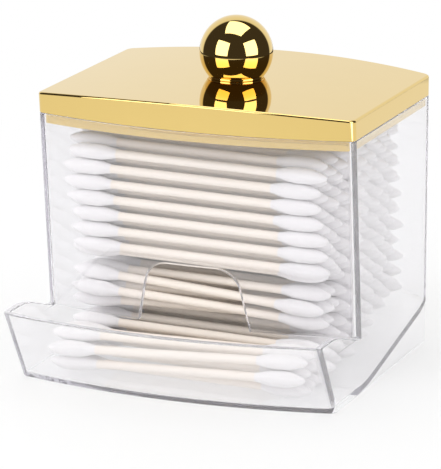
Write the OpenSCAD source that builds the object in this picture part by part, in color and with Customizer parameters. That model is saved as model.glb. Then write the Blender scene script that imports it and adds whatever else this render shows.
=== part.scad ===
// Cotton swab holder: a clear moulded box with a scoop tray, a plated lift-off lid with a
// ball knob, and the stack of cotton swabs that it dispenses. X runs along the swabs, -Y is
// the tray side, +Z is up. The origin is on the base, under the middle of the whole outline.

/* [Box] */
// Width over the two flat side walls
box_w = 92; // [86:1:110]
// Depth between the box corners at the rim
box_d = 61; // [56:1:80]
// How far the front and back walls bow out in the middle
bow = 6.2; // [2:0.2:10]
// Height of the rim, where the lid's skirt rests
rim_z = 71.5; // [64:0.5:90]
// Thickness of every moulded wall
wall = 1.8; // [1.4:0.1:2.2]
// Radius of the upright corners
corner_r = 2.4; // [1.5:0.1:4]
// Slope of the front wall, degrees back from upright
front_lean = 5.5; // [0:0.5:7]
// Height of the front wall's lower edge over the base
front_edge_z = 15.8; // [13:0.2:20]

/* [Finger notch] */
// Width of the notch at the front wall's lower edge
notch_w = 33; // [20:1:44]
// Height of the notch over the front wall's lower edge
notch_h = 17.4; // [10:0.2:24]
// Radius of its upper corners
notch_r = 7; // [3:0.5:9]

/* [Tray] */
// How far the tray's front corners stand before the box corners, at the base
tray_reach = 12.7; // [10:0.5:20]
// Slope of the tray's front wall, degrees out from upright
tray_lean = 30; // [15:1:35]
// How far the tray's front wall bows out
tray_bow = 5.2; // [2:0.2:8]
// Height of the tray's rim
tray_rim_z = 21.3; // [18:0.1:26]

/* [Ramp] */
// Fall of the ramp towards the tray, in mm for each mm
ramp_slope = 0.21; // [0.12:0.01:0.26]
// Where the flat floor ends, from the middle of the box
ramp_start = -25; // [-28:0.5:-18]
// Length over which the floor bends into the ramp
ramp_bend = 12; // [4:0.5:16]
// How fast the ramp curls up into the back wall
ramp_curl = 0.045; // [0.02:0.005:0.06]

/* [Lid] */
// Height of the skirt at the corners
skirt_h = 5.7; // [4:0.1:9]
// Rise of the arched top in the middle of its width
lid_arch = 1.9; // [0.5:0.1:4]
// Thickness of the plated lid
lid_wall = 1.6; // [1.2:0.1:2]
// Depth of the locating flange below the skirt
flange_h = 3; // [2:0.1:5]
// Thickness of the flange
flange_wall = 1.4; // [1:0.1:2]
// Gap between the flange and the box wall
flange_gap = 0.3; // [0.2:0.05:0.6]

/* [Knob] */
// Radius of the ball
knob_r = 10.15; // [8:0.05:13]
// Radius of the flat seat under the ball
knob_seat_r = 7.4; // [5:0.1:7.6]
// Thickness of the thin collar at the seat
collar_h = 0.7; // [0.4:0.1:1.5]
// Diameter of the knob screw
screw_d = 3; // [2.5:0.1:4]
// Length of the screw below its head
screw_len = 9; // [7:0.5:11]

/* [Swabs] */
// Length of a swab, tip to tip
swab_len = 75; // [70:0.5:78]
// Diameter of the paper stick
stick_d = 2.4; // [2:0.1:2.6]
// Diameter of the cotton bud
bud_d = 4.2; // [3.6:0.05:4.25]
// Length of the cotton bud
bud_len = 14; // [11:0.5:16]
// Upright distance between swabs in one column
level_pitch = 4.5; // [4.45:0.05:5]
// Number of columns between the front and back walls
column_count = 15; // [10:1:15]
// Number of upright columns in the tray, next to the front wall
tray_column_count = 1; // [1:1:2]
// How far the swabs' left ends lie above their right ends
stack_tilt = 1.4; // [0:0.1:1.8]
// Clearance between a swab and a wall
swab_gap = 0.15; // [0.1:0.05:0.5]

/* [Loose bundles] */
// Distance of a bundle's outer swabs from its middle one
bundle_r = 4.75; // [4.7:0.05:5.2]
// Twist of the bundle behind the finger notch, in degrees from end to end
notch_twist = 62; // [0:1:80]
// Height of that bundle's middle over the front wall's lower edge
notch_bundle_rise = 6.4; // [5:0.2:10]
// Twist of the bundle in the tray
tray_twist = -48; // [-80:1:0]

/* [Hidden] */
$fn = 64;
TIERS = ["low", "middle", "top"];
TIER_LEVELS = 5;

clear_plastic = [0.90, 0.91, 0.94, 0.45];
plated_gold = [0.88, 0.74, 0.42];
screw_steel = [0.70, 0.70, 0.72];
cotton_white = [0.95, 0.94, 0.93];

half_w = box_w / 2;
half_d = box_d / 2;
front_slope = tan(front_lean);
lid_corner_z = rim_z + skirt_h;
lid_top_z = lid_corner_z + lid_arch;
arch_r = (half_w * half_w + lid_arch * lid_arch) / (2 * lid_arch);
far = 200;
past = 1;
// How far a corner's round stands past the wall's arc, so that the two cross and do not graze
corner_step = 0.01;

// Reach of the whole part from the middle of the box, and the shift that centres it
tray_front_y = -(half_d + tray_reach + (tray_bow + tray_rim_z * sin(tray_lean)) / cos(tray_lean));
back_y = half_d + bow;
centre_y = (tray_front_y + back_y) / 2;

// Radius of a wall that bows out by rise over the box's width
function bow_radius(rise) = (half_w * half_w + rise * rise) / (2 * rise);

// Height of the upper face of the tray floor and ramp at depth y
function ramp_top(y) =
    let (bent = min(max(y - ramp_start, 0), ramp_bend), straight = max(y - ramp_start - ramp_bend, 0))
    wall
    + ramp_slope * (bent * bent / (2 * ramp_bend) + straight)
    + ramp_curl * pow(max(0, y - (half_d - 3 * wall)), 2);

// Height of the tray's side rim at depth y: level at the front, falling to the front wall
rim_fall_from = -half_d - tray_reach - 4;
rim_fall_to = -half_d + rim_z * front_slope + 1.5;
function side_rim(y) =
    let (t = min(1, max(0, (y - rim_fall_from) / (rim_fall_to - rim_fall_from))))
    tray_rim_z - (tray_rim_z - front_edge_z) * (1 - cos(180 * t)) / 2;

// Plan of a space that is closed by a bowed, round-cornered wall on the -Y side and open on
// the +Y side. inset moves every wall inwards.
module bowed_plan(corner_y, rise, inset) {
    r_bow = bow_radius(rise);
    r_corner = max(corner_r - inset, 0.6);
    r_wall = r_bow - inset;
    middle_y = r_bow - rise - corner_y;
    corner_x = half_w - inset - r_corner;
    corner_mid_y = middle_y - sqrt(pow(r_wall - r_corner + corner_step, 2) - pow(corner_x, 2));
    tangent_x = r_wall * corner_x / (r_wall - r_corner);
    translate([-half_w + inset, corner_mid_y])
        square([box_w - 2 * inset, far]);
    intersection() {
        translate([0, middle_y])
            circle(r = r_wall, $fn = 256);
        translate([-tangent_x, -far])
            square([2 * tangent_x, far + corner_mid_y + r_corner]);
    }
    for (side = [-1, 1])
        translate([side * corner_x, corner_mid_y])
            circle(r = r_corner);
}

// Space behind the leaning front wall
module behind_front(inset) {
    translate([0, 0, rim_z])
        rotate([front_lean, 0, 0])
            translate([0, 0, -far])
                linear_extrude(2 * far)
                    bowed_plan(half_d, bow, inset);
}

// Space before the upright back wall
module before_back(inset) {
    mirror([0, 1, 0])
        translate([0, 0, -past])
            linear_extrude(far)
                bowed_plan(half_d, bow, inset);
}

// Space behind the tray's front wall, which leans out
module behind_tray_front(inset) {
    translate([0, -half_d - tray_reach, 0])
        rotate([tray_lean, 0, 0])
            translate([0, 0, -far / 2])
                linear_extrude(far)
                    bowed_plan(0, tray_bow, inset);
}

// The box's closed outline in plan, used by the box, the lid and its flange alike
module box_space(inset) {
    intersection() {
        behind_front(inset);
        before_back(inset);
    }
}

// A slab across X between two heights
module between(z_low, z_high) {
    translate([-far / 2, -far / 2, z_low])
        cube([far, far, z_high - z_low]);
}

// Everything that lies over, or under, a curve of height against depth, across the given width
module side_profile(points, width) {
    rotate([90, 0, 90])
        translate([0, 0, -width / 2])
            linear_extrude(width)
                polygon(points);
}

ramp_steps = [for (i = [0:30]) tray_front_y - past + i * (back_y + 3 - tray_front_y) / 30];

module over_ramp(width) {
    side_profile(concat(
        [for (y = ramp_steps) [y, ramp_top(y)]],
        [[ramp_steps[30], far], [ramp_steps[0], far]]), width);
}

module under_ramp(width) {
    side_profile(concat(
        [for (y = ramp_steps) [y, ramp_top(y) - wall]],
        [[ramp_steps[30], -past], [ramp_steps[0], -past]]), width);
}

module under_side_rim() {
    rim_steps = [for (i = [0:16]) rim_fall_from + i * (rim_fall_to - rim_fall_from) / 16];
    side_profile(concat(
        [[tray_front_y - past, 0], [tray_front_y - past, tray_rim_z]],
        [for (y = rim_steps) [y, side_rim(y)]],
        [[back_y, front_edge_z], [back_y, 0]]), box_w + past);
}

// The notch's outline, with round upper corners and feet that spread a little
module notch_outline() {
    top = front_edge_z + notch_h;
    foot = notch_w / 2;
    shoulder = foot - 2.5 - notch_r;
    hull() {
        for (side = [-1, 1])
            translate([side * shoulder, top - notch_r])
                circle(r = notch_r, $fn = 48);
        translate([-foot, front_edge_z - past])
            square([notch_w, past / 2]);
    }
}

module clear_box() {
    color(clear_plastic)
    translate([0, -centre_y, 0])
    difference() {
        intersection() {
            before_back(0);
            union() {
                intersection() {
                    behind_front(0);
                    between(0, rim_z);
                }
                intersection() {
                    behind_tray_front(0);
                    under_side_rim();
                }
            }
        }
        // Room for the stack
        intersection() {
            box_space(wall);
            over_ramp(box_w - 2 * wall);
        }
        // Room in the tray, up to the front wall
        difference() {
            intersection() {
                behind_tray_front(wall);
                over_ramp(box_w - 2 * wall);
                translate([-far / 2, tray_front_y - past, 0])
                    cube([far, -tray_front_y, tray_rim_z + past]);
            }
            intersection() {
                behind_front(0);
                between(front_edge_z, far);
            }
        }
        // Finger notch through the front wall alone
        translate([0, -half_d / 2, 0])
            rotate([90, 0, 0])
                linear_extrude(half_d / 2 + bow + tray_reach / 2)
                    notch_outline();
        // Open space under the ramp
        under_ramp(box_w - 2 * wall);
    }
}

// Solid under the lid's arched upper face, lowered by drop
module under_arch(drop) {
    translate([0, far / 2, lid_top_z - arch_r - drop])
        rotate([90, 0, 0])
            cylinder(r = arch_r, h = far, $fn = 360);
}

lid_hole_r = screw_d / 2 + 0.2;

module lid() {
    flange_inset = wall + flange_gap;
    color(plated_gold)
    translate([0, -centre_y, 0])
    difference() {
        union() {
            intersection() {
                box_space(0);
                between(rim_z, far);
                under_arch(0);
            }
            intersection() {
                box_space(flange_inset);
                between(rim_z - flange_h, rim_z + skirt_h / 2);
            }
        }
        // Hollow under the arched top, inside the flange
        intersection() {
            box_space(flange_inset + flange_wall);
            between(rim_z - flange_h - past, far);
            under_arch(lid_wall);
        }
        cylinder(r = lid_hole_r, h = far);
    }
}

knob_mid_z = lid_top_z + sqrt(knob_r * knob_r - knob_seat_r * knob_seat_r);
screw_top_z = lid_top_z - lid_wall + screw_len;

module knob() {
    color(plated_gold)
    translate([0, -centre_y, 0])
    difference() {
        union() {
            intersection() {
                translate([0, 0, knob_mid_z])
                    sphere(r = knob_r, $fn = 96);
                translate([0, 0, lid_top_z])
                    cylinder(r = 2 * knob_r, h = 3 * knob_r);
            }
            translate([0, 0, lid_top_z])
                cylinder(r = knob_seat_r + 0.3, h = collar_h);
        }
        translate([0, 0, lid_top_z - past])
            cylinder(r = screw_d / 2 + 0.05, h = screw_top_z + 1 - lid_top_z + past);
    }
}

module knob_screw() {
    head_r = screw_d;
    head_h = 0.7 * screw_d;
    head_z = lid_top_z - lid_wall - head_h;
    color(screw_steel)
    translate([0, -centre_y, 0])
    difference() {
        union() {
            translate([0, 0, head_z])
                cylinder(r = head_r, h = head_h);
            translate([0, 0, head_z])
                cylinder(r = screw_d / 2, h = head_h + screw_len);
        }
        // Cross recess
        for (turn = [0, 90])
            translate([0, 0, head_z])
                rotate([0, 0, turn])
                    cube([head_r * 1.1, 0.7, head_h], center = true);
    }
}

// One swab along X with its middle at the origin: a stick with a pointed bud on each end
module swab() {
    tip_r = 0.75;
    bud_r = bud_d / 2;
    stick_r = stick_d / 2;
    tip_x = swab_len / 2;
    shoulder_x = tip_x - 0.42 * bud_len;
    waist_x = tip_x - 0.74 * bud_len;
    neck_x = tip_x - bud_len;
    outline = [
        [tip_r * 0.55, tip_x],
        [tip_r, tip_x - 0.5],
        [bud_r * 0.8, (tip_x + shoulder_x) / 2 + 0.3],
        [bud_r, shoulder_x],
        [bud_r, waist_x],
        [stick_r, neck_x]
    ];
    color(cotton_white)
    rotate([0, 90, 0])
        rotate_extrude()
            polygon(concat(
                [[0, tip_x]],
                outline,
                [for (i = [len(outline) - 1:-1:0]) [outline[i][0], -outline[i][1]]],
                [[0, -tip_x]]));
}

// A swab with the middle of its length at x, from one end's depth and height to the other's
module swab_between(x, left, right) {
    turn = atan2(right[0] - left[0], swab_len);
    rise = atan2(right[1] - left[1], swab_len);
    translate([x, (left[0] + right[0]) / 2 - centre_y, (left[1] + right[1]) / 2])
        rotate([0, -rise, turn])
            swab();
}

// Sideways place of the swabs, and how far one may lie from it
shift_mean = -0.8;
shift_spread = 1.1;
function shift(k, level) = shift_mean + rands(-shift_spread, shift_spread, 1, 100 * (k + 20) + level)[0];

// Depth of the first and last columns, at the outermost thick part of a shifted bud
bud_x = swab_len / 2 - bud_len / 4 + shift_spread;
bud_bow = bow_radius(bow) - sqrt(pow(bow_radius(bow), 2) - bud_x * bud_x);
wall_to_swab = wall + bud_d / 2 + swab_gap;
stack_back_y = half_d + bow - bud_bow - wall_to_swab;
function stack_front_y(z) = -half_d - bow + bud_bow + wall_to_swab / cos(front_lean)
    + (rim_z - max(z, front_edge_z)) * front_slope;
function column_y(k, z) =
    stack_front_y(z) + k * (stack_back_y - stack_front_y(z)) / (column_count - 1);

// Columns stand close, each half a swab higher or lower than the last
floor_level_z = ramp_top(stack_front_y(0)) + bud_d / 2 + stack_tilt / 2 + 2 * swab_gap;
top_limit_z = rim_z - flange_h - bud_d / 2 - stack_tilt / 2 - swab_gap;
function level_z(k, level) = floor_level_z + (level + (k % 2 == 0 ? 0.5 : 0)) * level_pitch;
function over_ramp_by(y, z) =
    min([for (a = [0:15:60]) z - bud_d / 2 * cos(a) - ramp_top(y + bud_d / 2 * sin(a))]);
function clears_ramp(y, z) = over_ramp_by(y, z - stack_tilt / 2) >= swab_gap;
function level_at(z) = floor((z - floor_level_z) / level_pitch) + 1;

// Middles of the two loose bundles, in depth and height, and the room that each takes
bundle_room = bundle_r + bud_d + stack_tilt / 2;
notch_bundle_z = front_edge_z + notch_bundle_rise;
notch_bundle = [stack_front_y(notch_bundle_z) + bundle_r, notch_bundle_z];
tray_bundle_z = wall + bud_d / 2 + bundle_r + 2 * swab_gap;
tray_bundle = [column_y(-tray_column_count, tray_bundle_z) - bundle_room, tray_bundle_z];
function beside_bundle(y, z) =
    norm([y, z] - notch_bundle) >= bundle_room && norm([y, z] - tray_bundle) >= bundle_room;

// Small steady differences of height
function sway(y, z, phase) = 0.08 * sin(4 * z + 3 * y + phase);

module stacked_swab(k, level) {
    z = level_z(k, level);
    y = column_y(k, z);
    if (z <= top_limit_z && clears_ramp(y, z) && beside_bundle(y, z))
        swab_between(shift(k, level),
            [y, z + stack_tilt / 2 + sway(y, z, 0)],
            [y, z - stack_tilt / 2 + sway(y, z, 140)]);
}

module swab_column(k, tier) {
    last = tier == len(TIERS) - 1 ? level_at(rim_z) : (tier + 1) * TIER_LEVELS - 1;
    for (level = [tier * TIER_LEVELS:last])
        stacked_swab(k, level);
}

// Swabs that have rolled out under the front wall
tray_limit_z = front_edge_z - bud_d / 2 - stack_tilt / 2 - swab_gap;
module tray_column(k) {
    for (level = [0:level_at(tray_limit_z)])
        if (level_z(-k, level) <= tray_limit_z)
            stacked_swab(-k, level);
}

// Seven swabs lying twisted about a middle one
module bundle(middle, twist) {
    swab_between(shift_mean, middle, middle);
    for (i = [0:5]) {
        start = 60 * i + 30 - twist / 2;
        swab_between(shift(i, round(twist)),
            middle + bundle_r * [cos(start), sin(start)],
            middle + bundle_r * [cos(start + twist), sin(start + twist)]);
    }
}

clear_box();
lid();
knob();
knob_screw();
for (k = [1:column_count], tier = [0:len(TIERS) - 1])
    swab_column(k - 1, tier);
for (k = [1:tray_column_count])
    tray_column(k);
bundle(notch_bundle, notch_twist);
bundle(tray_bundle, tray_twist);
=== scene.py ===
"""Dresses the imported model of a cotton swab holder: a clear moulded box with a scoop tray, a
plated lid with a ball knob, and the stack of cotton swabs inside it. Run as a script."""

import math
import random

import bmesh
import bpy
import numpy as np
from bpy.props import FloatProperty, FloatVectorProperty, IntProperty, PointerProperty
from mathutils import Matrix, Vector


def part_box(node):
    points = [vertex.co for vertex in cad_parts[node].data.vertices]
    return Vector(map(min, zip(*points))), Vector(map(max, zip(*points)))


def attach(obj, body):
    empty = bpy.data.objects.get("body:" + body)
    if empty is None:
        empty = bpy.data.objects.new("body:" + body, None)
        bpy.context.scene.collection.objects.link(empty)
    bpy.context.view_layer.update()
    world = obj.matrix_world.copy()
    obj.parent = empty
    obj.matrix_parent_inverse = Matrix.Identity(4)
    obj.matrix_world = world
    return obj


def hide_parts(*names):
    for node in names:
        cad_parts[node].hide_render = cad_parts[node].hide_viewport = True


bl_info = {
    "name": "Cotton swab holder",
    "version": (1, 0, 0),
    "blender": (4, 5, 0),
    "location": "3D View > Sidebar > Swab holder",
    "description": "Dresses the clear box, the plated lid and the cotton swabs",
    "category": "Object",
}

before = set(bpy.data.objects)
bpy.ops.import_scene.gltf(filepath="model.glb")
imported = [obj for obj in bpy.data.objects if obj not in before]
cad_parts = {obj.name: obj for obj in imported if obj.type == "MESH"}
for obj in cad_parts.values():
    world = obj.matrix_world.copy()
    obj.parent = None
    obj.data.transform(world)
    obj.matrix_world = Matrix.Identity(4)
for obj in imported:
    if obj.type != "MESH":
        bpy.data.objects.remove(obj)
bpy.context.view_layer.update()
MM = 0.001

LID_LOW, LID_HIGH = (Vector(corner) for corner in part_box("lid"))
BOX_LOW, BOX_HIGH = (Vector(corner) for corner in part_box("clear_box"))
KNOB_LOW, KNOB_HIGH = (Vector(corner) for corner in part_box("knob"))
SWAB_NODES = sorted(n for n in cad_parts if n.startswith(("swab_", "tray_", "notch_")))

# How the CAD mesh of the box is cleaned, and which of its edges are rounded
WELD = 0.001 * MM
FLAT_ANGLE = math.radians(0.05)
SHARP_ANGLE = math.radians(25)
BROAD_ANGLE = math.radians(20)
EDGE_STEPS = 4
# The open space under the ramp: its half width, its front and its top
RAMP_HALF_W, RAMP_FRONT_Y, RAMP_TOP_Z = 44.6 * MM, -14 * MM, 13 * MM
# The tray's front wall: how deep it reaches, and how squarely its faces look to the front
TRAY_DEPTH = 18 * MM
TRAY_FACING = 0.5

# The lid: steps of its upper edge and of its small rounds, and its least corner radius
LID_EDGE_STEPS = 7
LID_FOOT_STEPS = 4
LEAST_CORNER = 0.6 * MM

# The knob's seat: its lip outside the ball's seat, its small rounds, and the steps of each curve
SEAT_LIP = 0.3 * MM
SEAT_SOFT = 0.15 * MM
SEAT_STEPS = 4
BALL_STEPS = 61
KNOB_SIDES = 128
KNOB_SHARP_ANGLE = math.radians(40)

# Reading the CAD swabs: vertices this close are one, and this much of each end is its tip
SAME_SPOT = 0.002 * MM
TIP_SLICE = 0.02 * MM
SWAB_SEED = 7

# The table, and how far from its middle its looks change
TABLE_RADIUS, TABLE_SIDES = 0.5, 96
MIRRORED_WHITE_TO, MIRRORED_DARK_FROM = 0.39, 0.43
SHADE_NEAR, SHADE_GONE = 0.06, 0.3
SHADE_GLOW = 0.5
# The white paper: its direction in plan, and between which heights of that it fades in
PAPER_X, PAPER_Y = -0.38, 0.925
PAPER_FROM, PAPER_TO = 0.56, 0.64

# Lamps: place and size in metres
LEFT_BOX, RIGHT_BOX, SIDE_BOX_SIZE = (-0.39, -0.80, 0.36), (0.86, -0.26, 0.36), (0.72, 0.72)
TOP_BOX, TOP_BOX_SIZE = (0.0, 0.05, 0.95), (0.8, 0.8)
LOW_CARD, LOW_CARD_AIM, LOW_CARD_SIZE = (0.235, -0.10, 0.004), (0.235, -0.10, 1.0), (0.05, 0.12)
KEY_LAMP, KEY_LAMP_SIZE = (-0.45, -0.62, 0.75), (0.7, 0.7)
LAMP_AIM = (0, 0.01, 0.06)
CLEAR_BOUNCES, DIFFUSE_BOUNCES = 40, 3

# The camera: where it stands and what it looks at, in mm, and its sensor's width
CAMERA_PLACE, CAMERA_AIM = Vector((361.8, -880.8, 294.2)), Vector((-4.69, 12.40, 33.5))
SENSOR_WIDTH = 36.0


def length(name, description, default):
    return FloatProperty(name=name, description=description, default=default * MM, min=0,
                         subtype="DISTANCE", unit="LENGTH", precision=5)


def colour(name, description, default):
    return FloatVectorProperty(name=name, description=description, default=default,
                               subtype="COLOR", min=0, max=1)


def share(name, description, default, high=1.0):
    return FloatProperty(name=name, description=description, default=default, min=0, max=high)


class SwabHolderBox(bpy.types.PropertyGroup):
    tint: colour("Plastic", "Tint of the clear moulded plastic", (0.985, 0.982, 0.99))
    ior: share("Refraction", "Index of refraction of the plastic", 1.57, 2.5)
    polish: share("Roughness", "Roughness of the moulded faces", 0.03)
    haze: share("Haze", "Share of light that the faces scatter", 0.045)
    tray_haze: share("Tray haze", "The same for the tray's front wall", 0.13)
    edge: length("Edge", "Radius of the moulded edges", 0.35)
    smoke: colour("Depth", "Colour of light that runs far inside the plastic", (0.58, 0.55, 0.66))
    depth: share("Depth density", "How fast light inside takes that colour", 12.0, 200.0)


class SwabHolderLid(bpy.types.PropertyGroup):
    gold: colour("Gold", "Colour of the plating", (0.80, 0.59, 0.215))
    polish: share("Roughness", "Roughness of the plating", 0.02)
    edge: length("Edge", "Radius of the lid's upper edge", 0.6)
    foot: length("Foot", "Radius of the small edges below", 0.2)
    bow: length("Bow", "How far the front and back bow out", 6.2)
    corner: length("Corner", "Radius of the upright corners", 2.4)
    lean: FloatProperty(name="Lean", description="Lean of the front wall", subtype="ANGLE",
                        default=math.radians(5.5))
    arch: length("Arch", "Rise of the arched top", 1.9)
    wall: length("Wall", "Thickness of the lid", 1.6)
    flange_inset: length("Flange inset", "From the skirt's face to the flange", 2.1)
    flange_wall: length("Flange wall", "Thickness of the locating flange", 1.4)


class SwabHolderKnob(bpy.types.PropertyGroup):
    ball: length("Ball", "Radius of the ball", 10.15)
    seat: length("Seat", "Radius of the seat below the ball", 7.4)
    collar: length("Collar", "Height of the thin collar", 0.7)
    steel: colour("Steel", "Colour of the screw", (0.62, 0.62, 0.63))


class SwabHolderSwabs(bpy.types.PropertyGroup):
    stick: length("Stick", "Diameter of the paper stick", 2.4)
    bud: length("Bud", "Diameter of the cotton bud", 4.36)
    fuzz: length("Fuzz", "Unevenness of the cotton", 0.07)
    kinds: IntProperty(name="Kinds", description="How many different swabs are made",
                       default=8, min=1, max=20)
    sides: IntProperty(name="Sides", description="Facets around a bud", default=26, min=8, max=48)
    cotton: colour("Cotton", "Colour of the cotton", (0.90, 0.88, 0.895))
    paper: colour("Paper", "Colour of the paper stick", (0.955, 0.87, 0.79))


class SwabHolderStage(bpy.types.PropertyGroup):
    floor: colour("Floor", "Colour of the table", (0.93, 0.93, 0.93))
    room: colour("Room", "Colour of the room before the table", (0.055, 0.046, 0.04))
    fill: share("Fill", "Even light from all around", 1.0, 3.0)
    box_light: FloatProperty(name="Side light", description="Power of each upright soft box",
                             default=4.5, min=0, subtype="POWER", unit="POWER")
    top_light: FloatProperty(name="Top light", description="Power of the overhead soft box",
                             default=5.0, min=0, subtype="POWER", unit="POWER")
    card_light: FloatProperty(name="Card light", description="Power of the low card's light",
                              default=0.05, min=0, subtype="POWER", unit="POWER")
    key_light: FloatProperty(name="Key light", description="Power of the soft main light",
                             default=2.4, min=0, subtype="POWER", unit="POWER")
    focal: FloatProperty(name="Focal length", description="Camera's focal length in mm",
                         default=275.2, min=1)


def settings(context, part):
    return getattr(context.scene, "swab_holder_" + part)


# Materials


class Finish:
    """A material with its node tree, its shader and short ways to add nodes."""

    def __init__(self, name):
        self.material = bpy.data.materials.new(name)
        self.material.use_nodes = True
        self.tree = self.material.node_tree
        self.shader = self.tree.nodes["Principled BSDF"]
        self.output = self.tree.nodes["Material Output"]

    def node(self, kind, **values):
        made = self.tree.nodes.new(kind)
        for key, value in values.items():
            setattr(made, key, value)
        return made

    def link(self, source, target):
        self.tree.links.new(source, target)

    def set(self, **sockets):
        for name, value in sockets.items():
            self.shader.inputs[name.replace("_", " ")].default_value = value

    def place(self, scale, attribute=None):
        """Coordinates in mm, stretched by scale on each axis."""
        if attribute:
            source = self.node("ShaderNodeAttribute", attribute_name=attribute).outputs["Vector"]
        else:
            source = self.node("ShaderNodeTexCoord").outputs["Object"]
        mapping = self.node("ShaderNodeMapping")
        mapping.inputs["Scale"].default_value = [s / MM for s in scale]
        self.link(source, mapping.inputs["Vector"])
        return mapping.outputs["Vector"]

    def noise(self, place, detail):
        """Noise at the scale that the place already has."""
        made = self.node("ShaderNodeTexNoise")
        made.inputs["Scale"].default_value = 1.0
        made.inputs["Detail"].default_value = detail
        self.link(place, made.inputs["Vector"])
        return made.outputs["Fac"]

    def spread(self, source, low, high):
        """A value from 0 to 1 spread over low to high."""
        made = self.node("ShaderNodeMapRange")
        made.inputs["From Min"].default_value = 0.3
        made.inputs["From Max"].default_value = 0.7
        made.inputs["To Min"].default_value = low
        made.inputs["To Max"].default_value = high
        self.link(source, made.inputs["Value"])
        return made.outputs["Result"]

    def blend_colours(self, source, first, second):
        made = self.node("ShaderNodeMix", data_type="RGBA")
        made.inputs["A"].default_value = (*first, 1)
        made.inputs["B"].default_value = (*second, 1)
        self.link(source, made.inputs["Factor"])
        return made.outputs["Result"]

    def bump(self, height, depth):
        """Unevenness of up to depth mm, at full strength."""
        made = self.node("ShaderNodeBump")
        made.inputs["Distance"].default_value = depth * MM
        made.inputs["Strength"].default_value = 1.0
        self.link(height, made.inputs["Height"])
        self.link(made.outputs["Normal"], self.shader.inputs["Normal"])


def tinted(rgb, factor):
    return tuple(min(1.0, c * factor) for c in rgb)


def clear_plastic(look, name, haze):
    finish = Finish(name)
    finish.set(Base_Color=(*look.tint, 1), IOR=look.ior, Transmission_Weight=1 - haze)
    ripple = finish.noise(finish.place((0.05, 0.05, 0.05)), detail=1.0)
    finish.link(finish.spread(ripple, look.polish * 0.5, look.polish * 1.5),
                finish.shader.inputs["Roughness"])
    finish.bump(ripple, 0.02)
    # Light passes straight through the thin walls to what stands behind them
    rays = finish.node("ShaderNodeLightPath")
    either = finish.node("ShaderNodeMath", operation="MAXIMUM")
    finish.link(rays.outputs["Is Shadow Ray"], either.inputs[0])
    finish.link(rays.outputs["Is Diffuse Ray"], either.inputs[1])
    through = finish.node("ShaderNodeBsdfTransparent")
    through.inputs["Color"].default_value = (0.99, 0.99, 0.99, 1)
    mix = finish.node("ShaderNodeMixShader")
    finish.link(either.outputs["Value"], mix.inputs["Fac"])
    finish.link(finish.shader.outputs["BSDF"], mix.inputs[1])
    finish.link(through.outputs["BSDF"], mix.inputs[2])
    finish.link(mix.outputs["Shader"], finish.output.inputs["Surface"])
    inside = finish.node("ShaderNodeVolumeAbsorption")
    inside.inputs["Color"].default_value = (*look.smoke, 1)
    inside.inputs["Density"].default_value = look.depth
    finish.link(inside.outputs["Volume"], finish.output.inputs["Volume"])
    return finish.material


def plated_gold(look):
    finish = Finish("gold_plating")
    finish.set(Metallic=1.0)
    cloud = finish.noise(finish.place((0.08, 0.08, 0.08)), detail=3.0)
    finish.link(finish.blend_colours(cloud, look.gold, tinted(look.gold, 0.97)),
                finish.shader.inputs["Base Color"])
    finish.link(finish.spread(cloud, look.polish * 0.7, look.polish * 1.3),
                finish.shader.inputs["Roughness"])
    finish.bump(finish.noise(finish.place((0.12, 0.12, 0.12)), detail=1.0), 0.01)
    return finish.material


def screw_steel(look):
    finish = Finish("turned_steel")
    finish.set(Metallic=1.0)
    turning = finish.noise(finish.place((1.0, 1.0, 8.0)), detail=4.0)
    finish.link(finish.blend_colours(turning, look.steel, tinted(look.steel, 0.8)),
                finish.shader.inputs["Base Color"])
    finish.link(finish.spread(turning, 0.25, 0.4), finish.shader.inputs["Roughness"])
    finish.bump(turning, 0.01)
    return finish.material


def cotton(look):
    finish = Finish("cotton_wool")
    finish.set(Roughness=0.95, Sheen_Weight=0.25, Sheen_Roughness=0.5)
    tufts = finish.noise(finish.place((0.9, 0.5, 0.5), "swab_space"), detail=4.0)
    fibres = finish.noise(finish.place((6.0, 1.2, 1.2), "swab_space"), detail=5.0)
    finish.link(finish.blend_colours(tufts, tinted(look.cotton, 0.95), tinted(look.cotton, 1.04)),
                finish.shader.inputs["Base Color"])
    both = finish.node("ShaderNodeMath", operation="ADD")
    finish.link(tufts, both.inputs[0])
    finish.link(fibres, both.inputs[1])
    finish.bump(both.outputs["Value"], 0.12)
    return finish.material


def rolled_paper(look):
    finish = Finish("rolled_paper")
    grain = finish.noise(finish.place((0.6, 3.0, 3.0), "swab_space"), detail=4.0)
    finish.link(finish.blend_colours(grain, tinted(look.paper, 0.96), tinted(look.paper, 1.03)),
                finish.shader.inputs["Base Color"])
    finish.link(finish.spread(grain, 0.5, 0.7), finish.shader.inputs["Roughness"])
    finish.bump(grain, 0.03)
    return finish.material


# Meshes


def new_piece(name, points, faces, materials, body, slot):
    mesh = bpy.data.meshes.new(name)
    mesh.from_pydata(points, [], faces)
    mesh.update()
    mesh.shade_smooth()
    for material in materials:
        mesh.materials.append(material)
    piece = bpy.data.objects.new(name, mesh)
    bpy.context.scene.collection.objects.link(piece)
    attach(piece, body)
    return piece


def weigh_normals(piece):
    """Keeps the big faces flat beside their small rounded edges."""
    weighted = piece.modifiers.new("Weighted normals", "WEIGHTED_NORMAL")
    weighted.weight = 50
    weighted.keep_sharp = True


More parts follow.
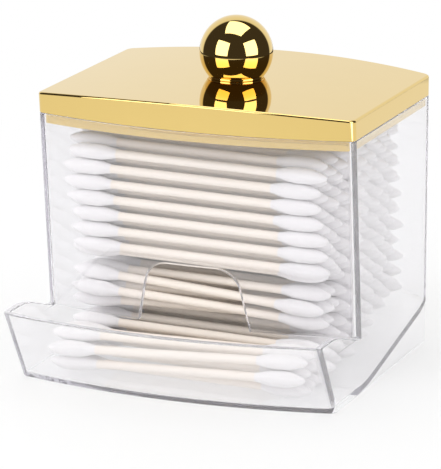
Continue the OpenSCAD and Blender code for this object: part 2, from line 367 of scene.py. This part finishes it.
def soft_edged(source, radius, steps):
    """The shape of a CAD mesh with its sharp edges rounded, and a normal for each corner."""
    shape = bmesh.new()
    shape.from_mesh(source)
    bmesh.ops.remove_doubles(shape, verts=shape.verts, dist=WELD)
    bmesh.ops.dissolve_limit(shape, angle_limit=FLAT_ANGLE, verts=shape.verts,
                             edges=shape.edges)
    sharp = [edge for edge in shape.edges
             if edge.calc_face_angle(0) > SHARP_ANGLE
             and not all(under_ramp(vertex.co) for vertex in edge.verts)]
    strips = set(bmesh.ops.bevel(shape, geom=sharp, offset=radius, offset_type="OFFSET",
                                 segments=steps, profile=0.5, affect="EDGES",
                                 clamp_overlap=False, loop_slide=True)["faces"])
    # Where a round runs out into a flat wall, it would stand proud of that wall
    for vertex in shape.verts:
        for axis in range(3):
            vertex.co[axis] = min(max(vertex.co[axis], BOX_LOW[axis]), BOX_HIGH[axis])
    shape.normal_update()
    # Broad faces keep their own direction to the edge, and the strips turn between them
    normals = {}
    for vertex in shape.verts:
        groups = []
        for face in vertex.link_faces:
            if face in strips:
                continue
            near = [g for g in groups if g[0].normal.angle(face.normal, 0) < BROAD_ANGLE]
            if near:
                near[0].append(face)
            else:
                groups.append([face])
        means = [sum((f.normal * f.calc_area() for f in g), Vector()).normalized()
                 for g in groups]
        own = {face: mean for g, mean in zip(groups, means) for face in g}
        between = sum((f.normal for f in vertex.link_faces if f in strips), Vector())
        for loop in vertex.link_loops:
            if loop.face in own:
                normals[loop] = own[loop.face]
            elif means:
                normals[loop] = min(means, key=lambda n: n.angle(loop.face.normal, 0))
            else:
                normals[loop] = between.normalized()
    corners = [normals[loop][:] for face in shape.faces for loop in face.loops]
    mesh = bpy.data.meshes.new("soft_edged")
    shape.to_mesh(mesh)
    shape.free()
    mesh.shade_smooth()
    mesh.normals_split_custom_set(corners)
    return mesh


def under_ramp(place):
    """Whether a place is in the open space under the ramp, whose edges stay sharp."""
    return abs(place.x) < RAMP_HALF_W and place.y > RAMP_FRONT_Y and place.z < RAMP_TOP_Z


def ring_faces(first, second, count):
    """Quads between two rings of count points that start at the given numbers."""
    return [(first + i, first + (i + 1) % count, second + (i + 1) % count, second + i)
            for i in range(count)]


def lathe(profile, sides, centre):
    """A closed surface turned about Z from (radius, height) pairs. Its ends lie on the axis."""
    points, faces = [], []
    x0, y0, z0 = centre
    for r, z in profile[1:-1]:
        for i in range(sides):
            a = math.tau * i / sides
            points.append((x0 + r * math.cos(a), y0 + r * math.sin(a), z0 + z))
    rings = len(profile) - 2
    for k in range(rings - 1):
        faces += ring_faces(k * sides, (k + 1) * sides, sides)
    points += [(x0, y0, z0 + profile[0][1]), (x0, y0, z0 + profile[-1][1])]
    low, high = rings * sides, rings * sides + 1
    faces += [(low, (i + 1) % sides, i) for i in range(sides)]
    last = (rings - 1) * sides
    faces += [(high, last + i, last + (i + 1) % sides) for i in range(sides)]
    return points, faces


def arc(centre, radius, start, end, steps):
    """Points (u, v) on an arc, angles in degrees."""
    return [(centre[0] + radius * math.cos(math.radians(a)),
             centre[1] + radius * math.sin(math.radians(a)))
            for a in np.linspace(start, end, steps)]


class LidOutline:
    """The lid's outline in plan at any height and inset: flat sides, bowed front and back."""

    CORNER_STEPS = 9
    BOW_STEPS = 81

    def __init__(self, look):
        self.half_w = (LID_HIGH.x - LID_LOW.x) / 2
        self.rim_z = BOX_HIGH.z
        self.look = look
        self.bow_r = (self.half_w ** 2 + look.bow ** 2) / (2 * look.bow)
        self.back_y = LID_HIGH.y
        self.depth = self.back_y - look.bow - self.corner_front()

    def corner_front(self):
        """Depth of the front corners at the rim, in the frame."""
        top_z = LID_HIGH.z - self.look.arch
        lean = math.tan(self.look.lean)
        bowed = self.look.bow / math.cos(self.look.lean)
        return LID_LOW.y + bowed + (top_z + self.look.arch - self.rim_z) * lean

    def half(self, inset):
        """(x, depth from the corner line, outward) from left to right along one bowed wall."""
        r_corner = max(self.look.corner - inset, LEAST_CORNER)
        r_wall = self.bow_r - inset
        middle = self.bow_r - self.look.bow
        corner_x = self.half_w - inset - r_corner
        corner_y = middle - math.sqrt((r_wall - r_corner) ** 2 - corner_x ** 2)
        swing = math.asin(corner_x / (r_wall - r_corner))
        right = [(corner_x + r_corner * math.sin(a), corner_y - r_corner * math.cos(a))
                 for a in np.linspace(swing, math.pi / 2, self.CORNER_STEPS)]
        bow = [(r_wall * math.sin(a), middle - r_wall * math.cos(a))
               for a in np.linspace(-swing, swing, self.BOW_STEPS)]
        left = [(-x, y) for x, y in reversed(right)]
        return left[:-1] + bow + right[1:]

    def ring(self, inset, height):
        """Points around the outline. height(x) gives each point's height."""
        lean = self.look.lean
        front = []
        for x, y in self.half(inset):
            z = height(x)
            front.append((x, self.corner_front() + y / math.cos(lean)
                          - (z - self.rim_z) * math.tan(lean), z))
        back_corner = self.back_y - self.look.bow
        back = [(x, back_corner - y, height(x)) for x, y in reversed(self.half(inset))]
        return front + back


def lid_mesh(look):
    outline = LidOutline(look)
    top_z = LID_HIGH.z
    arch_r = (outline.half_w ** 2 + look.arch ** 2) / (2 * look.arch)
    rim, low = outline.rim_z, LID_LOW.z

    def under_top(drop):
        return lambda x: top_z - drop - arch_r + math.sqrt(arch_r ** 2 - x * x)

    def level(z):
        return lambda x: z

    rings = [(e, under_top(d)) for e, d in
             [(look.edge * (1 - math.sin(a)), look.edge * (1 - math.cos(a)))
              for a in np.linspace(0, math.pi / 2, LID_EDGE_STEPS)]]
    foot, wall_in = look.foot, look.flange_inset
    rings += [(foot * (1 - math.cos(a)), level(rim + foot * (1 - math.sin(a))))
              for a in np.linspace(0, math.pi / 2, LID_FOOT_STEPS)]
    rings += [(wall_in, level(rim))]
    rings += [(wall_in + foot * (1 - math.cos(a)), level(low + foot * (1 - math.sin(a))))
              for a in np.linspace(0, math.pi / 2, LID_FOOT_STEPS)]
    inner = wall_in + look.flange_wall
    rings += [(inner - foot * (1 - math.sin(a)), level(low + foot * (1 - math.cos(a))))
              for a in np.linspace(0, math.pi / 2, LID_FOOT_STEPS)]
    rings += [(inner, under_top(look.wall))]
    points = [p for inset, height in rings for p in outline.ring(inset, height)]
    count = len(points) // len(rings)
    faces = []
    for k in range(len(rings) - 1):
        faces += ring_faces((k + 1) * count, k * count, count)
    # Strips from front to back close the top and its underside
    across = count // 2
    last = (len(rings) - 1) * count
    for i in range(across - 1):
        front, back = i, count - 1 - i
        faces.append((front, front + 1, back - 1, back))
        faces.append((last + back, last + back - 1, last + front + 1, last + front))
    return points, faces


def knob_mesh(look):
    middle = (KNOB_LOW + KNOB_HIGH) / 2
    seat_z = KNOB_LOW.z
    ball_z = seat_z + math.sqrt(look.ball ** 2 - look.seat ** 2)
    rim = look.seat + SEAT_LIP
    soft = SEAT_SOFT
    profile = [(0, seat_z), (rim - soft, seat_z)]
    profile += arc((rim - soft, seat_z + soft), soft, -90, 0, SEAT_STEPS)
    profile += arc((rim - soft, seat_z + look.collar - soft), soft, 0, 90, SEAT_STEPS)
    start = -math.degrees(math.acos(
        math.sqrt(look.ball ** 2 - (ball_z - seat_z - look.collar) ** 2) / look.ball))
    profile += arc((0, ball_z), look.ball, start, 90, BALL_STEPS)
    profile[-1] = (0, ball_z + look.ball)
    return lathe(profile, KNOB_SIDES, (middle.x, middle.y, 0))


# Swabs


def swab_places(node):
    """The tip to tip axes of the swabs in a CAD node, each as (left tip, right tip)."""
    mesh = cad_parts[node].data
    spots = np.empty(len(mesh.vertices) * 3)
    mesh.vertices.foreach_get("co", spots)
    spots = spots.reshape(-1, 3)
    _, same = np.unique(np.round(spots / SAME_SPOT).astype(np.int64), axis=0,
                        return_inverse=True)
    same = same.reshape(-1)
    parent = list(range(same.max() + 1))

    def root(a):
        while parent[a] != a:
            parent[a] = parent[parent[a]]
            a = parent[a]
        return a

    ends = np.empty(len(mesh.edges) * 2, dtype=np.int64)
    mesh.edges.foreach_get("vertices", ends)
    for a, b in same[ends.reshape(-1, 2)]:
        parent[root(a)] = root(b)
    groups = {}
    for spot, a in zip(spots, same):
        groups.setdefault(root(a), []).append(spot)
    places = []
    for group in groups.values():
        cloud = np.array(group)
        centre = (cloud.min(0) + cloud.max(0)) / 2
        way = np.linalg.svd(cloud - cloud.mean(0), full_matrices=False)[2][0]
        way = way if way[0] > 0 else -way
        for _ in range(2):
            along = (cloud - centre) @ way
            left = np.unique(np.round(cloud[along < along.min() + TIP_SLICE], 7), axis=0).mean(0)
            right = np.unique(np.round(cloud[along > along.max() - TIP_SLICE], 7), axis=0).mean(0)
            way = (right - left) / np.linalg.norm(right - left)
        places.append((left, right))
    return sorted(places, key=lambda ends: (round(ends[0][2], 6), round(ends[0][1], 6)))


# Half of a swab's outline: mm back from the tip, and radius as a share of the bud's
BUD_OUTLINE = [(0.1, 0.17), (0.4, 0.31), (1.0, 0.47), (1.8, 0.63), (2.8, 0.78), (4.0, 0.91),
               (5.2, 0.98), (6.6, 1.0), (8.2, 1.0), (9.8, 0.96), (11.2, 0.86), (12.4, 0.74),
               (13.4, 0.63), (14.2, 0.575)]
STICK_STEPS = 7
# The bare gap between the end of a bud's outline and the first ring of the stick
STICK_GAP = 0.15 * MM


def swab_kind(look, span, rng):
    """One swab along X about the origin: points, faces, and the material number of each face."""
    sides = look.sides
    bud_r, stick_r = look.bud / 2, look.stick / 2
    rings = [(-span / 2 + back * MM, r * bud_r, 1) for back, r in BUD_OUTLINE]
    sleeve = BUD_OUTLINE[-1][0] * MM
    reach = span / 2 - sleeve - STICK_GAP
    rings += [(x, stick_r, 0) for x in np.linspace(-reach, reach, STICK_STEPS)]
    rings += [(span / 2 - back * MM, r * bud_r, 1) for back, r in reversed(BUD_OUTLINE)]
    phases = [rng.uniform(0, math.tau) for _ in range(8)]
    points = []
    for x, r, is_bud in rings:
        end = 0 if x < 0 else 4
        for i in range(sides):
            a = math.tau * i / sides
            bulge = 0
            if is_bud:
                depth = (span / 2 - abs(x)) / MM
                bulge = (math.sin(2 * a + phases[end] + 0.5 * depth)
                         + 0.7 * math.sin(3 * a - phases[end + 1] + 0.9 * depth)
                         + 0.5 * math.sin(5 * a + phases[end + 2] - 1.3 * depth)
                         + 0.6 * math.sin(phases[end + 3] + 1.7 * depth)
                         + rng.uniform(-0.5, 0.5)) * look.fuzz / 2
            reach_r = max(r + bulge * min(1, r / bud_r), 0.1 * MM)
            points.append((x, reach_r * math.cos(a), reach_r * math.sin(a)))
    faces, kinds = [], []
    for k in range(len(rings) - 1):
        faces += [tuple(reversed(f)) for f in ring_faces(k * sides, (k + 1) * sides, sides)]
        kinds += [0 if rings[k][2] and rings[k + 1][2] else 1] * sides
    points += [(-span / 2, 0, 0), (span / 2, 0, 0)]
    left, right, last = len(points) - 2, len(points) - 1, (len(rings) - 1) * sides
    faces += [(left, i, (i + 1) % sides) for i in range(sides)]
    faces += [(right, last + (i + 1) % sides, last + i) for i in range(sides)]
    kinds += [0] * (2 * sides)
    return np.array(points), faces, kinds


def turned(left, right, roll):
    """The rotation that lays X from left to right, and rolls about it."""
    way = (right - left) / np.linalg.norm(right - left)
    side = np.cross([0, 0, 1], way)
    side /= np.linalg.norm(side)
    up = np.cross(way, side)
    c, s = math.cos(roll), math.sin(roll)
    return np.array([way, c * side + s * up, c * up - s * side])


def dress_swabs(node, kinds, look, materials, rng):
    points, faces, slots, space = [], [], [], []
    for left, right in swab_places(node):
        shape, quads, numbers = rng.choice(kinds)
        turn = turned(left, right, rng.uniform(0, math.tau))
        start = sum(len(p) for p in points)
        points.append(shape @ turn + (left + right) / 2)
        space.append(shape + [rng.uniform(0, 0.5), rng.uniform(0, 0.5), 0])
        faces += [tuple(start + v for v in quad) for quad in quads]
        slots += numbers
    piece = new_piece(node + "_cotton", np.concatenate(points).tolist(), faces, materials,
                      "holder", "cotton")
    piece.data.polygons.foreach_set("material_index", slots)
    place = piece.data.attributes.new("swab_space", "FLOAT_VECTOR", "POINT")
    place.data.foreach_set("vector", np.concatenate(space).ravel())
    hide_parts(node)


# Operators


class SWABHOLDER_OT_clear_box(bpy.types.Operator):
    """Rounds the moulded box's edges and gives it its clear plastic"""

    bl_idname = "swabholder.clear_box"
    bl_label = "Clear box"

    def execute(self, context):
        look = settings(context, "box")
        mesh = soft_edged(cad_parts["clear_box"].data, look.edge, EDGE_STEPS)
        mesh.materials.clear()
        mesh.materials.append(clear_plastic(look, "moulded_plastic", look.haze))
        mesh.materials.append(clear_plastic(look, "tray_front_plastic", look.tray_haze))
        tray_y = BOX_LOW.y + TRAY_DEPTH
        for face in mesh.polygons:
            in_tray = face.center.y < tray_y and abs(face.normal.y) > TRAY_FACING
            face.material_index = 1 if in_tray else 0
        box = bpy.data.objects.new("moulded_box", mesh)
        context.scene.collection.objects.link(box)
        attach(box, "holder")
        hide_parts("clear_box")
        return {"FINISHED"}


class SWABHOLDER_OT_lid(bpy.types.Operator):
    """Builds the plated lid with its rounded edges"""

    bl_idname = "swabholder.lid"
    bl_label = "Lid"

    def execute(self, context):
        look = settings(context, "lid")
        lid = new_piece("plated_lid", *lid_mesh(look), [plated_gold(look)], "lid", "plated_gold")
        weigh_normals(lid)
        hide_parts("lid")
        return {"FINISHED"}


class SWABHOLDER_OT_knob(bpy.types.Operator):
    """Builds the ball knob and finishes its screw"""

    bl_idname = "swabholder.knob"
    bl_label = "Knob"

    def execute(self, context):
        look = settings(context, "knob")
        gold = bpy.data.materials["gold_plating"]
        knob = new_piece("ball_knob", *knob_mesh(look), [gold], "lid", "plated_gold")
        knob.data.set_sharp_from_angle(angle=KNOB_SHARP_ANGLE)
        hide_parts("knob")
        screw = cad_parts["knob_screw"]
        screw.data.materials.clear()
        screw.data.materials.append(screw_steel(look))
        return {"FINISHED"}


class SWABHOLDER_OT_swabs(bpy.types.Operator):
    """Builds the cotton swabs where the CAD model has them"""

    bl_idname = "swabholder.swabs"
    bl_label = "Swabs"

    def execute(self, context):
        look = settings(context, "swabs")
        rng = random.Random(SWAB_SEED)
        left, right = swab_places(SWAB_NODES[0])[0]
        span = float(np.linalg.norm(right - left))
        kinds = [swab_kind(look, span, rng) for _ in range(look.kinds)]
        materials = [cotton(look), rolled_paper(look)]
        for node in SWAB_NODES:
            dress_swabs(node, kinds, look, materials, rng)
        return {"FINISHED"}


class SWABHOLDER_OT_stage(bpy.types.Operator):
    """Sets the table, the backdrop, the lights and the camera"""

    bl_idname = "swabholder.stage"
    bl_label = "Stage"

    def execute(self, context):
        look = settings(context, "stage")
        self.floor(look)
        self.world(context, look)
        self.lights(look)
        self.camera(context, look)
        context.scene.view_settings.view_transform = "Standard"
        # Light runs a long way inside the clear walls and between the white sticks
        context.scene.cycles.max_bounces = CLEAR_BOUNCES
        context.scene.cycles.transmission_bounces = CLEAR_BOUNCES
        context.scene.cycles.glossy_bounces = CLEAR_BOUNCES
        context.scene.cycles.diffuse_bounces = DIFFUSE_BOUNCES
        return {"FINISHED"}

    def floor(self, look):
        radius, sides = TABLE_RADIUS, TABLE_SIDES
        mesh = bpy.data.meshes.new("table")
        mesh.from_pydata([(radius * math.cos(math.tau * i / sides),
                           radius * math.sin(math.tau * i / sides), 0) for i in range(sides)],
                         [], [tuple(range(sides))])
        finish = Finish("table_white")
        finish.set(Base_Color=(*look.floor, 1), Roughness=0.6)
        rays = finish.node("ShaderNodeLightPath")
        seen = finish.node("ShaderNodeMath", operation="MAXIMUM")
        finish.link(rays.outputs["Is Camera Ray"], seen.inputs[0])
        finish.link(rays.outputs["Is Transmission Ray"], seen.inputs[1])
        # Mirrors show the table as white nearby and as the dark room farther off
        spot = finish.node("ShaderNodeTexCoord")
        away = finish.node("ShaderNodeVectorMath", operation="LENGTH")
        finish.link(spot.outputs["Object"], away.inputs[0])
        near = finish.node("ShaderNodeMapRange")
        near.inputs["From Min"].default_value = MIRRORED_WHITE_TO
        near.inputs["From Max"].default_value = MIRRORED_DARK_FROM
        finish.link(away.outputs["Value"], near.inputs["Value"])
        far = finish.node("ShaderNodeMath", operation="MULTIPLY")
        finish.link(rays.outputs["Is Glossy Ray"], far.inputs[0])
        finish.link(near.outputs["Result"], far.inputs[1])
        also = finish.node("ShaderNodeMath", operation="MAXIMUM")
        finish.link(seen.outputs["Value"], also.inputs[0])
        finish.link(rays.outputs["Is Glossy Ray"], also.inputs[1])
        # Shade shows near the holder, and the rim is as white as the paper behind
        fade = finish.node("ShaderNodeMapRange", interpolation_type="SMOOTHSTEP")
        fade.inputs["From Min"].default_value = SHADE_NEAR
        fade.inputs["From Max"].default_value = SHADE_GONE
        fade.inputs["To Min"].default_value = SHADE_GLOW
        fade.inputs["To Max"].default_value = 1.0
        finish.link(away.outputs["Value"], fade.inputs["Value"])
        lift = finish.node("ShaderNodeMath", operation="MULTIPLY")
        finish.link(fade.outputs["Result"], lift.inputs[1])
        finish.link(also.outputs["Value"], lift.inputs[0])
        glow = finish.node("ShaderNodeEmission")
        mix = finish.node("ShaderNodeMixShader")
        finish.link(lift.outputs["Value"], mix.inputs["Fac"])
        finish.link(finish.shader.outputs["BSDF"], mix.inputs[1])
        finish.link(glow.outputs["Emission"], mix.inputs[2])
        room = finish.node("ShaderNodeEmission")
        room.inputs["Color"].default_value = (*look.room, 1)
        whole = finish.node("ShaderNodeMixShader")
        finish.link(far.outputs["Value"], whole.inputs["Fac"])
        finish.link(mix.outputs["Shader"], whole.inputs[1])
        finish.link(room.outputs["Emission"], whole.inputs[2])
        finish.link(whole.outputs["Shader"], finish.output.inputs["Surface"])
        mesh.materials.append(finish.material)
        floor = bpy.data.objects.new("table", mesh)
        bpy.context.scene.collection.objects.link(floor)

    def world(self, context, look):
        world = bpy.data.worlds.new("studio")
        context.scene.world = world
        world.use_nodes = True
        tree = world.node_tree
        tree.nodes.clear()
        new, link = tree.nodes.new, tree.links.new

        def math_node(operation, a, b):
            made = new("ShaderNodeMath")
            made.operation = operation
            for socket, value in zip(made.inputs, (a, b)):
                if isinstance(value, (int, float)):
                    socket.default_value = value
                else:
                    link(value, socket)
            return made.outputs["Value"]

        rays = new("ShaderNodeLightPath")
        way = new("ShaderNodeTexCoord")
        split = new("ShaderNodeSeparateXYZ")
        link(way.outputs["Generated"], split.inputs["Vector"])
        # The white paper stands behind the table, and the room before it is dark
        behind = math_node("ADD", math_node("MULTIPLY", split.outputs["Y"], PAPER_Y),
                           math_node("MULTIPLY", split.outputs["X"], PAPER_X))
        edge = new("ShaderNodeMapRange")
        edge.inputs["From Min"].default_value = PAPER_FROM
        edge.inputs["From Max"].default_value = PAPER_TO
        link(behind, edge.inputs["Value"])
        reflected = new("ShaderNodeMix")
        reflected.data_type = "RGBA"
        reflected.inputs["A"].default_value = (*look.room, 1)
        reflected.inputs["B"].default_value = (1, 1, 1, 1)
        link(edge.outputs["Result"], reflected.inputs["Factor"])
        shown = new("ShaderNodeBackground")
        mirror = new("ShaderNodeBackground")
        fill = new("ShaderNodeBackground")
        shown.inputs["Color"].default_value = (1, 1, 1, 1)
        fill.inputs["Color"].default_value = (1, 1, 1, 1)
        fill.inputs["Strength"].default_value = look.fill
        link(reflected.outputs["Result"], mirror.inputs["Color"])
        seen = math_node("MAXIMUM", rays.outputs["Is Camera Ray"],
                         rays.outputs["Is Transmission Ray"])
        first = new("ShaderNodeMixShader")
        second = new("ShaderNodeMixShader")
        link(rays.outputs["Is Glossy Ray"], first.inputs["Fac"])
        link(fill.outputs["Background"], first.inputs[1])
        link(mirror.outputs["Background"], first.inputs[2])
        link(seen, second.inputs["Fac"])
        link(first.outputs["Shader"], second.inputs[1])
        link(shown.outputs["Background"], second.inputs[2])
        out = new("ShaderNodeOutputWorld")
        link(second.outputs["Shader"], out.inputs["Surface"])

    def lights(self, look):
        # The metal mirrors the three boxes and the low card, and the key lights the cotton
        mirrored = [("left_box", LEFT_BOX, SIDE_BOX_SIZE, look.box_light, LAMP_AIM),
                    ("right_box", RIGHT_BOX, SIDE_BOX_SIZE, look.box_light, LAMP_AIM),
                    ("top_box", TOP_BOX, TOP_BOX_SIZE, look.top_light, LAMP_AIM),
                    ("low_card", LOW_CARD, LOW_CARD_SIZE, look.card_light, LOW_CARD_AIM)]
        for name, place, size, power, aim in mirrored:
            self.soft_box(name, place, size, power, aim, mirrored=True)
        self.soft_box("key", KEY_LAMP, KEY_LAMP_SIZE, look.key_light, LAMP_AIM, mirrored=False)

    def soft_box(self, name, place, size, power, aim, mirrored):
        lamp = bpy.data.lights.new(name, "AREA")
        lamp.shape = "RECTANGLE"
        lamp.size, lamp.size_y = size
        lamp.energy = power
        box = bpy.data.objects.new(name, lamp)
        box.location = place
        way = Vector(aim) - Vector(place)
        box.rotation_euler = way.to_track_quat("-Z", "Y").to_euler()
        box.visible_camera = False
        box.visible_transmission = False
        box.visible_glossy = mirrored
        box.visible_diffuse = not mirrored
        bpy.context.scene.collection.objects.link(box)

    def camera(self, context, look):
        lens = bpy.data.cameras.new("camera")
        lens.lens = look.focal
        lens.sensor_width = SENSOR_WIDTH
        lens.clip_start = 0.01
        camera = bpy.data.objects.new("camera", lens)
        aim = CAMERA_AIM * MM
        camera.location = CAMERA_PLACE * MM
        camera.rotation_euler = (aim - camera.location).to_track_quat("-Z", "Y").to_euler()
        context.scene.collection.objects.link(camera)
        context.scene.camera = camera


class SWABHOLDER_PT_panel(bpy.types.Panel):
    """Lists the steps that dress the swab holder"""

    bl_idname = "SWABHOLDER_PT_panel"
    bl_label = "Swab holder"
    bl_space_type = "VIEW_3D"
    bl_region_type = "UI"
    bl_category = "Swab holder"

    def draw(self, context):
        for operator, part in STEPS:
            section = self.layout.box()
            section.operator(operator.bl_idname)
            look = settings(context, part)
            for name in look.__annotations__:
                section.prop(look, name)


STEPS = [
    (SWABHOLDER_OT_clear_box, "box"),
    (SWABHOLDER_OT_lid, "lid"),
    (SWABHOLDER_OT_knob, "knob"),
    (SWABHOLDER_OT_swabs, "swabs"),
    (SWABHOLDER_OT_stage, "stage"),
]
GROUPS = {
    "box": SwabHolderBox,
    "lid": SwabHolderLid,
    "knob": SwabHolderKnob,
    "swabs": SwabHolderSwabs,
    "stage": SwabHolderStage,
}
CLASSES = [*GROUPS.values(), *(operator for operator, _ in STEPS), SWABHOLDER_PT_panel]


def register():
    for kind in CLASSES:
        bpy.utils.register_class(kind)
    for part, group in GROUPS.items():
        setattr(bpy.types.Scene, "swab_holder_" + part, PointerProperty(type=group))


def unregister():
    for part in GROUPS:
        delattr(bpy.types.Scene, "swab_holder_" + part)
    for kind in reversed(CLASSES):
        bpy.utils.unregister_class(kind)


def main():
    register()
    for operator, _ in STEPS:
        group, name = operator.bl_idname.split(".")
        getattr(getattr(bpy.ops, group), name)()


if __name__ == "__main__":
    main()
